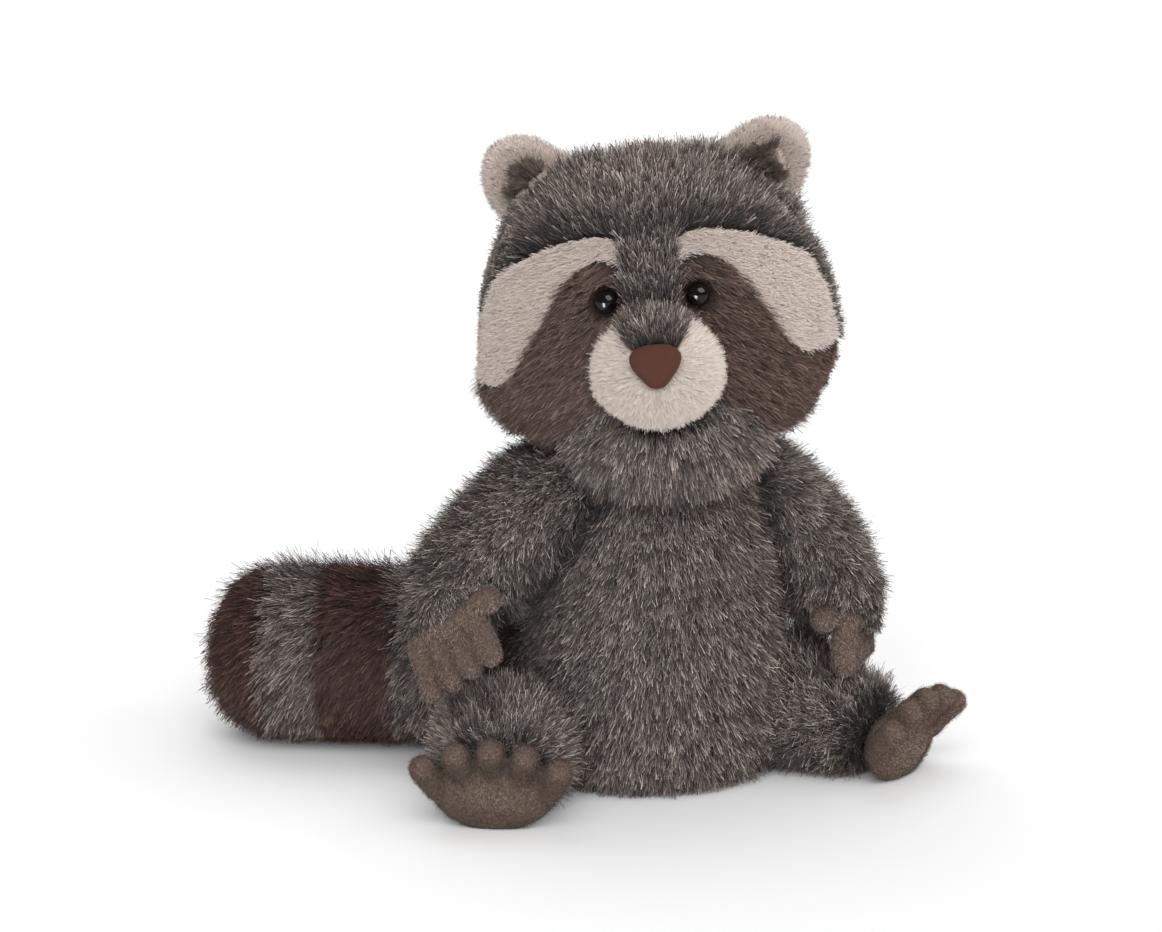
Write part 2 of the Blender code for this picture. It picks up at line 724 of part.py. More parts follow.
def make_tail(body_room):
    """Bands of one smooth tube, from the tip to the root."""
    keys = []
    for index, point in enumerate(TAIL_PATH):
        keys.append((*(Vector(point) * MM), TAIL_ROOT_RADIUS if index == 0 else TAIL_RADIUS))
    fine = 60
    path = [catmull_rom(keys, (len(keys) - 1) * (1 - step / fine)) for step in range(fine + 1)]
    lengths = [0.0]
    for point, following in zip(path, path[1:]):
        lengths.append(lengths[-1] + (Vector(following[:3]) - Vector(point[:3])).length)

    def ring(distance, share=1.0):
        index = max(i for i in range(fine) if lengths[i] <= distance + 1e-9)
        within = min((distance - lengths[index]) / (lengths[index + 1] - lengths[index]), 1.0)
        values = [a + (b - a) * within for a, b in zip(path[index], path[index + 1])]
        ways = []
        for place in (index, index + 1):
            ways.append(Vector(path[min(place + 1, fine)][:3]) - Vector(path[max(place - 1, 0)][:3]))
        tangent = ways[0].normalized().lerp(ways[1].normalized(), within).normalized()
        across = Vector((0, 0, 1)).cross(tangent).normalized()
        up = tangent.cross(across)
        if share == 0:
            return [Vector(values[:3])]
        return ring_points(Vector(values[:3]), across, up, values[3] * share, values[3] * share, TAIL_SIDES)

    start = 0.0
    bands = [*TAIL_BANDS, ("tail_root", lengths[-1] - sum(band[1] for band in TAIL_BANDS), "grey_fur")]
    for name, length, material in bands:
        rings = []
        first = start + GAP
        if start == 0:
            first = TAIL_CAP
            for step in range(4):
                angle = math.pi / 2 * step / 4
                rings.append(ring(TAIL_CAP * (1 - math.cos(angle)), math.sin(angle)))
        steps = max(1, round((start + length - first) / (12 * MM)))
        for step in range(steps + 1):
            rings.append(ring(first + (start + length - first) * step / steps))
        piece = add_object(name, skin_rings(rings), None, material)
        start += length
    return cut(piece, body_room)


# Assembly

def main():
    clear_scene()
    pose = head_matrix()
    head_room = add_object("head_room_guide", head_mesh(GAP), pose)
    muzzle_room = add_object("muzzle_room_guide", muzzle_mesh(GAP), pose)
    chin_room = add_object("chin_room_guide", chin_mesh(GAP), pose)
    body_room = add_object("body_room_guide", body_mesh(GAP))
    make_head()
    eye_rooms = [bpy.data.objects["eye_room_guide_" + word] for word in ("left", "right")]
    make_muzzle(head_room, eye_rooms)
    make_nose(muzzle_room)
    chin = add_object("chin_gusset", chin_mesh(), pose, "grey_fur")
    cut(chin, head_room, muzzle_room)
    body = add_object("body", body_mesh(), None, "grey_fur")
    cut(body, head_room, chin_room)
    for side, word in ((1, "left"), (-1, "right")):
        make_ear(word, side, head_room)
        make_arm(word, body_room, head_room, chin_room, *hand_rooms(word, side))
        make_hand(word, side)
        make_leg(word, body_room)
        make_foot(word)
    make_tail(body_room)


main()
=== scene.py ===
"""Looks of a seated plush raccoon: long pile as small mesh strands over stuffed forms."""
import math

import bpy
import numpy as np
from mathutils import Matrix, Vector
from mathutils.bvhtree import BVHTree
from mathutils.kdtree import KDTree


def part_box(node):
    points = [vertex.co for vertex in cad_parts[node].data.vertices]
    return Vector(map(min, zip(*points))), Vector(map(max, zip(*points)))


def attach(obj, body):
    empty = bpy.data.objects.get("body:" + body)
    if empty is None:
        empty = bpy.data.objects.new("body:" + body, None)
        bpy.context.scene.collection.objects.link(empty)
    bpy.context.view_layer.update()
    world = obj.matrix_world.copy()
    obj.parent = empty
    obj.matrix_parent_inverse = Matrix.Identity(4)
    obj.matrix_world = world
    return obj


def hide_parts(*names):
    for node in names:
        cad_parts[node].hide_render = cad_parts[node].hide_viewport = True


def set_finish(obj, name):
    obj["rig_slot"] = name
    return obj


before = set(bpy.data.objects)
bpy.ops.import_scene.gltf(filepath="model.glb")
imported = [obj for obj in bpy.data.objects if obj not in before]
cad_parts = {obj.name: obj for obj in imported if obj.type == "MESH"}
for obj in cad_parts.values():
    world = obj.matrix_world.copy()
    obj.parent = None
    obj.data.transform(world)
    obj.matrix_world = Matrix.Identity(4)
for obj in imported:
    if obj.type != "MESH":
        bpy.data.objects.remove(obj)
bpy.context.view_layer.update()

MM = 0.001
UP = np.array([0.0, 0.0, 1.0])
WORDS = ("left", "right")

DENSITY = 1.0

# Head frame, repeated from the CAD: turned and rolled about a middle
HEAD_MIDDLE = np.array([-7.0, -12.0, 201.5]) * MM
HEAD_TURN = math.radians(-27)
HEAD_ROLL = math.radians(-5)

# Upper edge of the brow stripes, across and up from the head's middle in millimetres
STRIPE_ACROSS = (8, 20, 34, 48, 58, 66, 73)
STRIPE_UP = (33, 35, 33, 27, 20, 8, -10)

# Dark triangle inside each ear, across and up from the head's middle in millimetres
EAR_PATCHES = {
    "right": ((-49, 62), (-33, 60), (-53, 44)),
    "left": ((33, 55), (50, 57), (53, 41)),
}

# Routes along which the pile of the limbs and the tail is combed, in millimetres
ARM_ROUTES = {
    "right": ((-24, 3, 134), (-56, 1, 122), (-81, 1, 101), (-94, -3, 85), (-90, -20, 60)),
    "left": ((22, 3, 132), (46, -5, 120), (66, -15, 98), (73, -24, 80), (68, -32, 55)),
}
FOOT_ROUTES = {
    "right": ((-61, 9, 20), (-90, -40, 12)),
    "left": ((48, -5, 20), (84, -50, 12)),
}
TAIL_ROUTE = ((0, 34, 33), (-30, 56, 36), (-92, 88, 37), (-190, 150, 34))

# Radius around the middle of an eye that stays free of strands, in millimetres
EYE_ROOM = 6.2

# Triangles below this area in square metres grow nothing
SMALLEST_AREA = 1e-10
# Roots this close to the ground grow nothing where the surface faces down more than this
SEAT_ROOM = 0.6
SEAT_FACING = -0.7
# Height of the pile's lowest layer over the ground, and its thickness, in millimetres
GROUND_GAP = 0.3
GROUND_LAYER = 0.4
# A strand cut shorter than this share is left out
SHORTEST_SHARE = 0.3

# How much strands and their tufts differ: ways, angles in radians, lengths and tones
OWN_WAY = 0.8
TUFT_WAY = 0.6
OWN_ANGLE = 0.18
TUFT_ANGLE = 0.12
TUFT_LENGTH = 0.12
LENGTH_LIMITS = (0.45, 1.7)
OWN_TONE = 0.85
TUFT_TONE = 0.5
# Least rise of a strand over the surface, as a share of its length
LEAST_RISE = 0.18
# Turn of a strand's flat side in radians, spread and limits of its width, and width of a blunt tip
TWIST = 0.7
WIDTH_SPREAD = 0.25
WIDTH_LIMITS = (0.5, 1.6)
BLUNT_WIDTH = 0.8
# How much painted shade a fold puts on the strands in it
FOLD_PAINTED_SHADE = 0.6

CAMERA_TURN = math.radians(-25)
CAMERA_RISE = math.radians(12.5)
CAMERA_DISTANCE = 1.36
CAMERA_LENS = 100
# Where the camera looks, to the right and up from the origin
CAMERA_AIM = (-0.0312, 0.126)
# Where the lamps seen in the eyes look: between the eyes
FACE_AIM = (-0.02, -0.06, 0.21)


# Small helpers

def rgb(red, green, blue):
    """A linear colour from the 0 to 255 values of a screen."""
    channels = []
    for value in (red, green, blue):
        share = value / 255
        channels.append(share / 12.92 if share <= 0.04045 else ((share + 0.055) / 1.055) ** 2.4)
    return (*channels, 1.0)


def unit(vectors):
    lengths = np.linalg.norm(vectors, axis=-1, keepdims=True)
    return vectors / np.maximum(lengths, 1e-9)


def flatten(vectors, normals):
    """The vectors without their part along the normals, at length 1."""
    along = np.sum(vectors * normals, axis=1, keepdims=True)
    return unit(vectors - along * normals)


def smooth_step(values, low, high):
    share = np.clip((values - low) / (high - low), 0, 1)
    return share * share * (3 - 2 * share)


def by_place(value, points, normals):
    """A number, or what a function of the points and normals gives, for each point."""
    if callable(value):
        return value(points, normals)
    return np.full(len(points), float(value))


def centre_of(node):
    low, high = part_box(node)
    return (np.array(low) + np.array(high)) / 2


head_axes = np.array(Matrix.Rotation(HEAD_TURN, 3, "Z") @ Matrix.Rotation(HEAD_ROLL, 3, "Y"))


def to_head(points):
    """Points of the frame as millimetres across, deep and up in the head."""
    return (points - HEAD_MIDDLE) @ head_axes / MM


def head_way(across, deep, up):
    return head_axes @ np.array([across, deep, up], float)


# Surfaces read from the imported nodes

def node_mesh(name):
    """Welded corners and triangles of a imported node."""
    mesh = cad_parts[name].data
    mesh.calc_loop_triangles()
    corners = np.empty(len(mesh.vertices) * 3)
    mesh.vertices.foreach_get("co", corners)
    triangles = np.empty(len(mesh.loop_triangles) * 3, dtype=np.int32)
    mesh.loop_triangles.foreach_get("vertices", triangles)
    corners = corners.reshape(-1, 3)
    triangles = triangles.reshape(-1, 3)
    keys = np.round(corners / 2e-6).astype(np.int64)
    first, back = np.unique(keys, axis=0, return_index=True, return_inverse=True)[1:]
    triangles = back.reshape(-1)[triangles]
    corners = corners[first]
    a, b, c = triangles.T
    keep = (a != b) & (b != c) & (a != c)
    return corners, triangles[keep]


meshes = {name: node_mesh(name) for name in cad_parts}


def node_tree(name):
    """A search tree over one node."""
    corners, triangles = meshes[name]
    return BVHTree.FromPolygons(corners.tolist(), triangles.tolist())


def tree_without(name):
    """A search tree over all nodes but one."""
    corners = []
    triangles = []
    offset = 0
    for other, (points, faces) in meshes.items():
        if other == name:
            continue
        corners.append(points)
        triangles.append(faces + offset)
        offset += len(points)
    return BVHTree.FromPolygons(np.concatenate(corners).tolist(), np.concatenate(triangles).tolist())


def open_surface(name, tree, clear):
    """Triangles of a node that are open in front, with their areas and smooth corner normals.

    One is open if a ray from its middle or from near a corner meets no other node within clear metres.
    """
    corners, triangles = meshes[name]
    a, b, c = (corners[triangles[:, k]] for k in range(3))
    cross = np.cross(b - a, c - a)
    areas = np.linalg.norm(cross, axis=1) / 2
    normals = unit(cross)
    middles = (a + b + c) / 3
    shown = np.zeros(len(triangles), bool)
    for index in range(len(triangles)):
        if areas[index] < SMALLEST_AREA:
            continue
        ahead = normals[index] * 0.05 * MM
        for spot in (middles[index], *(0.7 * corners[triangles[index]] + 0.3 * middles[index])):
            if tree.ray_cast((spot + ahead).tolist(), normals[index].tolist(), clear)[0] is None:
                shown[index] = True
                break
    triangles = triangles[shown]
    normals = normals[shown]
    areas = areas[shown]
    smooth = np.zeros_like(corners)
    for k in range(3):
        np.add.at(smooth, triangles[:, k], normals * areas[:, None])
    return triangles, areas, unit(smooth)


def away_from(nodes, near, far):
    """How far points are from the nodes, as 0 at near millimetres to 1 at far."""
    trees = [node_tree(node) for node in nodes]

    def away(points):
        gaps = np.array([min(tree.find_nearest(point)[3] for tree in trees) for point in points.tolist()])
        return smooth_step(gaps, near * MM, far * MM)

    return away


# Stuffed forms under the pile

forms = {}


def make_form(node, slot, material, inset, voxel, relax=8):
    """A rounded copy of a node that stands for it. Inset and voxel are in millimetres."""
    corners, triangles = meshes[node]
    mesh = bpy.data.meshes.new(node + "_form")
    mesh.from_pydata(corners.tolist(), [], triangles.tolist())
    piece = bpy.data.objects.new(node + "_form", mesh)
    bpy.context.scene.collection.objects.link(piece)
    remesh = piece.modifiers.new("remesh", "REMESH")
    remesh.mode = "VOXEL"
    remesh.voxel_size = voxel * MM
    smooth = piece.modifiers.new("relax", "SMOOTH")
    smooth.factor = 0.5
    smooth.iterations = relax
    graph = bpy.context.evaluated_depsgraph_get()
    shape = bpy.data.meshes.new_from_object(piece.evaluated_get(graph))
    piece.modifiers.clear()
    piece.data = shape
    bpy.data.meshes.remove(mesh)
    points = np.empty(len(shape.vertices) * 3)
    normals = np.empty(len(shape.vertices) * 3)
    shape.vertices.foreach_get("co", points)
    shape.vertex_normals.foreach_get("vector", normals)
    points = points.reshape(-1, 3)
    normals = normals.reshape(-1, 3)
    points = points - normals * by_place(inset, points, normals)[:, None] * MM
    shape.vertices.foreach_set("co", points.reshape(-1))
    shape.update()
    shape.shade_smooth()
    shape.name = node + "_form"
    shape.materials.clear()
    shape.materials.append(material)
    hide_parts(node)
    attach(piece, "root")
    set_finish(piece, slot)
    forms[node] = piece


# Strands

class Pile:
    """How a pile grows. Lengths are in millimetres, and inset may be a function of points and normals."""

    # Degrees off the surface, and how much the strands hang
    lift = 35
    droop = 0.3
    # Width at the wide end, which is the tip for the blunt share of the strands
    width = 0.3
    blunt = 0.6
    # Depth of the roots, and the free room that a triangle needs in front of it
    inset = 0.8
    clear = 3.0
    # Distance between tufts, and how far the tips lean to the leader of theirs
    clump = 2.6
    clumping = 0.45
    # Spread of the ways, the lengths and the tones
    scatter = 0.22
    vary = 0.25
    spread = 0.3
    # Functions for the change of tone, with painted shade and painted light at some places, the share of the
    # length, and which places have pile at all
    tone = None
    length_at = None
    where = None
    # Middles of balls that stay free of strands
    keep_clear = ()
    # Depth up to which a fold stays bare, and over which painted shade darkens the strands
    crease = 0
    shade = 0

    def __init__(self, material, length, comb, **changes):
        self.material = material
        self.length = length
        self.comb = comb
        for key, value in changes.items():
            setattr(self, key, value)


def scatter_roots(rng, corners, triangles, areas, smooth, count):
    """Random places with their normals on the triangles, apart from the side that lies on the ground."""
    picks = rng.choice(len(triangles), size=count, p=areas / areas.sum())
    first = rng.random(count)
    second = rng.random(count)
    over = first + second > 1
    first[over] = 1 - first[over]
    second[over] = 1 - second[over]
    weights = np.stack([1 - first - second, first, second], axis=1)
    chosen = triangles[picks]
    roots = np.einsum("ij,ijk->ik", weights, corners[chosen])
    normals = unit(np.einsum("ij,ijk->ik", weights, smooth[chosen]))
    above = (roots[:, 2] > SEAT_ROOM * MM) | (normals[:, 2] > SEAT_FACING)
    return roots[above], normals[above]


def gather_tufts(rng, roots, area, spacing):
    """The leading strand of each tuft, and the tuft of each strand."""
    tufts = max(1, int(area / spacing ** 2))
    leaders = rng.choice(len(roots), size=min(tufts, len(roots)), replace=False)
    finder = KDTree(len(leaders))
    for place, index in enumerate(leaders):
        finder.insert(roots[index].tolist(), place)
    finder.balance()
    return leaders, np.array([finder.find(point)[1] for point in roots.tolist()])


def aim_strands(rng, kind, roots, normals, wild, tuft_size):
    """The way of each strand: combed, lifted, scattered and hanging, but off the surface."""
    way = flatten(kind.comb(roots, normals), normals)
    angle = np.radians(kind.lift) + OWN_ANGLE * rng.normal(size=len(roots)) + TUFT_ANGLE * tuft_size
    aim = unit(way * np.cos(angle)[:, None] + normals * np.sin(angle)[:, None] + wild * kind.scatter)
    aim = unit(aim - UP * 0.15 * kind.droop)
    rise = np.sum(aim * normals, axis=1)
    return unit(aim + normals * np.maximum(LEAST_RISE - rise, 0)[:, None])


def free_shares(kind, tree, own, roots, normals, start, tip):
    """How much of each strand is free of neighbours, and 0 for one in a crease or near an eye."""
    shares = np.ones(len(roots))
    reach = tip - roots
    spans = np.linalg.norm(reach, axis=1)
    aims = (reach / spans[:, None]).tolist()
    origins = (roots + normals * 0.1 * MM).tolist()
    for index in range(len(roots)):
        hit = tree.ray_cast(origins[index], aims[index], spans[index])
        if hit[0] is not None:
            shares[index] = hit[3] / spans[index]
    for spot in kind.keep_clear:
        for share in (0.0, 0.5, 1.0):
            shares[np.linalg.norm(start + share * (tip - start) - spot, axis=1) < EYE_ROOM * MM] = 0
    if kind.crease:
        raised = (roots + normals * 0.25 * MM).tolist()
        for index, way in enumerate(normals.tolist()):
            if own.ray_cast(raised[index], way, kind.crease * MM)[0] is not None:
                shares[index] = 0
    return shares


def fold_depths(kind, tree, own, roots, normals, wild):
    """How deep in a fold each root is, from 0 in the open to 1."""
    hollow = np.zeros(len(roots))
    if not kind.shade:
        return hollow
    raised = (roots + normals * 0.25 * MM).tolist()
    for index, way in enumerate(unit(normals + 0.6 * wild).tolist()):
        for walls in (own, tree):
            hit = walls.ray_cast(raised[index], way, kind.shade * MM)
            if hit[0] is not None:
                hollow[index] = max(hollow[index], 1 - hit[3] / (kind.shade * MM))
    return hollow


def lay_on_ground(rng, points):
    """Points below the ground move up into its lowest layer of pile."""
    sunk = points[:, 2] < GROUND_GAP * MM
    points[sunk, 2] = GROUND_GAP * MM + GROUND_LAYER * MM * rng.random(sunk.sum())


def strand_corners(rng, kind, normals, start, tip):
    """Both corners of each strand's wide end, its point, and whether the wide end is the tip."""
    count = len(start)
    across = unit(np.cross(tip - start, normals))
    turn = rng.normal(size=count) * TWIST
    side = across * np.cos(turn)[:, None] + normals * np.sin(turn)[:, None]
    wide_tip = rng.random(count) < kind.blunt
    share = np.clip(1 + WIDTH_SPREAD * rng.normal(size=count), *WIDTH_LIMITS)
    half = kind.width * MM * 0.5 * share * np.where(wide_tip, BLUNT_WIDTH, 1)
    base = np.where(wide_tip[:, None], tip, start)
    point = np.where(wide_tip[:, None], start, tip)
    return base + side * half[:, None], base - side * half[:, None], point, wide_tip


def grow_pile(node, seed, count, kind, name=None):
    """A pile of thin strands over a node's open surface, on the form that stands for it."""
    rng = np.random.default_rng(seed)
    tree = tree_without(node)
    own = node_tree(node)
    triangles, areas, smooth = open_surface(node, tree, kind.clear * MM)
    roots, normals = scatter_roots(rng, meshes[node][0], triangles, areas, smooth, int(count * DENSITY))
    count = len(roots)

    # Tufts share their way, length and tone
    leaders, member = gather_tufts(rng, roots, areas.sum(), kind.clump * MM)
    tuft_noise = rng.normal(size=(len(leaders), 3))[member]
    tuft_tone = rng.normal(size=len(leaders))[member]
    tuft_size = rng.normal(size=len(leaders))[member]
    wild = TUFT_WAY * tuft_noise + OWN_WAY * rng.normal(size=(count, 3))

    aim = aim_strands(rng, kind, roots, normals, wild, tuft_size)
    share = np.clip(1 + kind.vary * rng.normal(size=count) + TUFT_LENGTH * tuft_size, *LENGTH_LIMITS)
    size = kind.length * MM * share
    if kind.length_at is not None:
        size = size * kind.length_at(roots, normals)
    start = roots - normals * by_place(kind.inset, roots, normals)[:, None] * MM
    tip = start + aim * size[:, None]
    pull = kind.clumping * (0.5 + 0.5 * rng.random(count))
    tip += (tip[leaders[member]] - tip) * pull[:, None]

    # Strands end before they enter a neighbour, and lie along the ground
    shares = free_shares(kind, tree, own, roots, normals, start, tip)
    good = shares > SHORTEST_SHARE
    if kind.where is not None:
        good &= kind.where(roots)
    tip = start + (tip - start) * shares[:, None]
    lay_on_ground(rng, start)
    lay_on_ground(rng, tip)

    left, right, point, wide_tip = strand_corners(rng, kind, normals, start, tip)
    tones = 0.5 + kind.spread * (OWN_TONE * rng.normal(size=count) + TUFT_TONE * tuft_tone)
    if kind.tone is not None:
        tones = tones + kind.tone(roots, normals)
    # Painted shade: strands deep in a fold are darker
    tones = tones - FOLD_PAINTED_SHADE * fold_depths(kind, tree, own, roots, normals, wild)
    tones = np.clip(tones, 0.01, 0.99)
    parts = [part[good] for part in (left, right, point, wide_tip, normals, tones)]
    strand_piece(name or node + "_pile", *parts, kind.material, forms[node])


def strand_piece(name, left, right, point, wide_tip, normals, tones, material, parent):
    """One mesh of strands, a thin triangle each with its point at the root or the tip.

    Its UVs run from root to tip and by tone.
    """
    count = len(left)
    flat = unit(np.cross(right - left, point - left))
    turned = np.sum(flat * normals, axis=1) < 0
    left[turned], right[turned] = right[turned].copy(), left[turned].copy()
    flat[turned] *= -1
    points = np.stack([left, right, point], axis=1).reshape(-1, 3)
    corners = np.arange(count * 3, dtype=np.int32)
    mesh = bpy.data.meshes.new(name)
    mesh.vertices.add(count * 3)
    mesh.vertices.foreach_set("co", points.reshape(-1))
    mesh.loops.add(count * 3)
    mesh.loops.foreach_set("vertex_index", corners)
    mesh.polygons.add(count)
    mesh.polygons.foreach_set("loop_start", np.arange(0, count * 3, 3, dtype=np.int32))
    mesh.update(calc_edges=True)
    uvs = np.empty((count, 3, 2))
    base_place = np.where(wide_tip, 0.98, 0.02)
    uvs[:, 0] = np.stack([base_place, tones - 0.004], axis=1)
    uvs[:, 1] = np.stack([base_place, tones + 0.004], axis=1)
    uvs[:, 2] = np.stack([1 - base_place, tones], axis=1)
    layer = mesh.uv_layers.new(name="OFBake")
    layer.data.foreach_set("uv", uvs.reshape(-1))
    mesh.shade_smooth()
    shading = unit(flat * 0.4 + normals * 0.6)
    mesh.normals_split_custom_set_from_vertices(np.repeat(shading, 3, axis=0))
    mesh.materials.append(material)
    piece = bpy.data.objects.new(name, mesh)
    bpy.context.scene.collection.objects.link(piece)
    piece.parent = parent
    piece.matrix_parent_inverse = parent.matrix_world.inverted()
    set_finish(piece, parent["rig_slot"])


# Materials

class Nodes:
    """Short calls for a material's nodes."""

    def __init__(self, name):
        self.material = bpy.data.materials.new(name)
        self.material.use_nodes = True
        self.tree = self.material.node_tree
        self.shader = self.tree.nodes["Principled BSDF"]

    def add(self, kind, **values):
        node = self.tree.nodes.new(kind)
        for key, value in values.items():
            if hasattr(node, key):
                setattr(node, key, value)
            else:
                node.inputs[key.replace("_", " ")].default_value = value
        return node

    def link(self, source, target):
        self.tree.links.new(source, target)

    def shade(self, **values):
        """Constant values on the shader's own sockets."""
        for key, value in values.items():
            self.shader.inputs[key.replace("_", " ")].default_value = value

    def ramp(self, factor, stops):
        node = self.add("ShaderNodeValToRGB")
        elements = node.color_ramp.elements
        while len(elements) < len(stops):
            elements.new(0.5)
        for element, (place, colour) in zip(elements, stops):
            element.position = place
            element.color = colour
        self.link(factor, node.inputs["Fac"])
        return node.outputs["Color"]

    def mix(self, factor, first, second):
        node = self.add("ShaderNodeMix", data_type="RGBA")
        for value, socket in ((factor, node.inputs[0]), (first, node.inputs[6]), (second, node.inputs[7])):
            if isinstance(value, bpy.types.NodeSocket):
                self.link(value, socket)
            else:
                socket.default_value = value
        return node.outputs[2]

    def noise(self, scale, detail, roughness=0.6):
        coordinates = self.add("ShaderNodeTexCoord")
        node = self.add("ShaderNodeTexNoise", Scale=scale, Detail=detail, Roughness=roughness)
        self.link(coordinates.outputs["Object"], node.inputs["Vector"])
        return node.outputs["Fac"]

    def bump(self, height, strength, distance):
        node = self.add("ShaderNodeBump", Strength=strength, Distance=distance)
        self.link(height, node.inputs["Height"])
        self.link(node.outputs["Normal"], self.shader.inputs["Normal"])


def pile_material(name, root, tips, rise=(0.1, 0.75), sheen=0.25):
    """Pile whose colour runs from the root to tips that differ from strand to strand."""
    nodes = Nodes(name)
    uv = nodes.add("ShaderNodeUVMap", uv_map="OFBake")
    parts = nodes.add("ShaderNodeSeparateXYZ")
    nodes.link(uv.outputs["UV"], parts.inputs["Vector"])
    tip_colour = nodes.ramp(parts.outputs["Y"], [(place, rgb(*colour)) for place, colour in tips])
    along = nodes.ramp(parts.outputs["X"], [(rise[0], (0, 0, 0, 1)), (rise[1], (1, 1, 1, 1))])
    nodes.link(nodes.mix(along, rgb(*root), tip_colour), nodes.shader.inputs["Base Color"])
    nodes.shade(Roughness=0.75, Specular_IOR_Level=0.35, Sheen_Weight=sheen, Sheen_Roughness=0.5)
    return nodes.material


def backing_material(name, dark, light):
    """Knitted backing with short wool, seen only between the strands."""
    nodes = Nodes(name)
    fine = nodes.noise(900, 4)
    nodes.link(nodes.ramp(fine, [(0.35, rgb(*dark)), (0.65, rgb(*light))]), nodes.shader.inputs["Base Color"])
    nodes.shade(Roughness=0.95, Specular_IOR_Level=0.1)
    nodes.bump(fine, 0.8, 0.0006)
    return nodes.material


def suede_material():
    nodes = Nodes("nose_suede")
    fine = nodes.noise(2600, 5, 0.7)
    broad = nodes.noise(160, 3)
    grain = nodes.ramp(fine, [(0.3, rgb(60, 34, 25)), (0.7, rgb(92, 56, 42))])
    nodes.link(nodes.mix(broad, grain, rgb(78, 46, 35)), nodes.shader.inputs["Base Color"])
    nodes.shade(Roughness=0.85, Specular_IOR_Level=0.12, Sheen_Weight=0.04)
    nodes.bump(fine, 0.5, 0.0003)
    return nodes.material


def eye_material():
    nodes = Nodes("eye_gloss")
    broad = nodes.noise(300, 2)
    tint = nodes.ramp(broad, [(0.3, rgb(10, 8, 8)), (0.7, rgb(20, 16, 14))])
    nodes.link(tint, nodes.shader.inputs["Base Color"])
    nodes.shade(Roughness=0.05, Specular_IOR_Level=0.3)
    return nodes.material


grey_pile = pile_material(
    "grey_pile",
    root=(24, 20, 19),
    tips=(
        (0.0, (27, 22, 21)), (0.25, (55, 46, 43)), (0.5, (104, 92, 86)), (0.75, (154, 139, 131)),
        (1.0, (200, 184, 174)),
    ),
    rise=(0.15, 0.85),
    sheen=0.08,
)
cream_pile = pile_material(
    "cream_pile",
    root=(180, 162, 152),
    tips=((0.0, (204, 188, 177)), (0.5, (224, 211, 201)), (1.0, (240, 230, 221))),
    rise=(0.0, 0.6),
    sheen=0.1,
)
stripe_pile = pile_material(
    "stripe_pile",
    root=(188, 171, 162),
    tips=((0.0, (198, 182, 173)), (0.5, (214, 200, 191)), (1.0, (228, 216, 208))),
    rise=(0.0, 0.5),
    sheen=0.1,
)
mask_pile = pile_material(
    "mask_pile",
    root=(40, 28, 23),
    tips=((0.0, (42, 29, 24)), (0.4, (76, 55, 47)), (0.7, (106, 81, 71)), (1.0, (142, 115, 102))),
    sheen=0.08,
)
inner_pile = pile_material(
    "inner_ear_pile",
    root=(34, 26, 22),
    tips=((0.0, (46, 36, 31)), (0.5, (88, 73, 63)), (1.0, (134, 116, 103))),
)
brown_pile = pile_material(
    "brown_pile",
    root=(20, 12, 10),
    tips=((0.0, (32, 19, 16)), (0.4, (60, 37, 32)), (0.7, (87, 57, 49)), (1.0, (118, 86, 76))),
    sheen=0.04,
)
velour_pile = pile_material(
    "velour_pile",
    root=(96, 79, 71),
    tips=((0.0, (96, 79, 71)), (0.5, (142, 122, 112)), (1.0, (186, 165, 154))),
    rise=(0.0, 0.8),
    sheen=0.1,
)
grey_back = backing_material("grey_backing", dark=(34, 29, 26), light=(60, 52, 46))
cream_back = backing_material("cream_backing", dark=(160, 144, 132), light=(190, 176, 164))
brown_back = backing_material("brown_backing", dark=(40, 28, 24), light=(66, 48, 42))
velour_back = backing_material("velour_backing", dark=(72, 59, 52), light=(104, 88, 79))


# Combing, as ways in the frame

nose_spot = centre_of("nose")
eye_spots = [centre_of("eye_" + word) for word in WORDS]


def comb_along(route):
    """Along a route of points in millimetres, to its end."""
    route = np.array(route, float) * MM

    def comb(points, normals):
        best = np.full(len(points), np.inf)
        ways = np.zeros_like(points)
        for start, end in zip(route, route[1:]):
            step = end - start
            share = np.clip((points - start) @ step / (step @ step), 0, 1)
            distance = np.linalg.norm(points - start - share[:, None] * step, axis=1)
            closer = distance < best
            best[closer] = distance[closer]
            ways[closer] = step / np.linalg.norm(step)
        return ways

    return comb


def comb_head(points, normals):
    """Away from the nose over the crown, and down at the sides and back."""
    local = to_head(points)
    away = unit(points - nose_spot)
    back = smooth_step(local[:, 1], -10, 40)[:, None]
    return away * (1 - 0.75 * back) + (0.25 * head_way(0, 1, 0) - UP) * 0.75 * back


def comb_sideways(fall):
    """Out to both sides of the head, with that fall for each length across."""

    def comb(points, normals):
        side = np.sign(to_head(points)[:, :1])
        return side * head_way(1, 0, 0) + head_way(0, 0.2, -fall)

    return comb


def comb_muzzle(points, normals):
    return unit(points - nose_spot)


def comb_bridge(points, normals):
    local = to_head(points)
    return head_way(0, 0, 1) + 0.04 * local[:, :1] * head_way(1, 0, 0)


def comb_chin(points, normals):
    local = to_head(points)
    return head_way(0, 0, -1) + 0.02 * local[:, :1] * head_way(1, 0, 0)


def comb_ear(points, normals):
    return unit(points - HEAD_MIDDLE)


def comb_body(points, normals):
    """Down, and outwards at the sides."""
    return 0.009 * points * [1 / MM, 0, 0] - UP


def comb_down(points, normals):
    return np.zeros_like(points) - UP


def comb_leg(word):
    """Away from the foot, up over the ankle."""
    foot = centre_of("foot_" + word)

    def comb(points, normals):
        return unit(points - foot) + 0.3 * UP

    return comb


tail_way = comb_along(TAIL_ROUTE)


def comb_tail(points, normals):
    """Along the tail to its tip, and hanging down."""
    return 0.75 * tail_way(points, normals) - 0.65 * UP


# Depth of the roots by place, in millimetres: the photo's outline is that of the tips

beside_face = away_from([part + word for part in ("ear_", "brow_stripe_", "mask_") for word in WORDS], 3, 14)


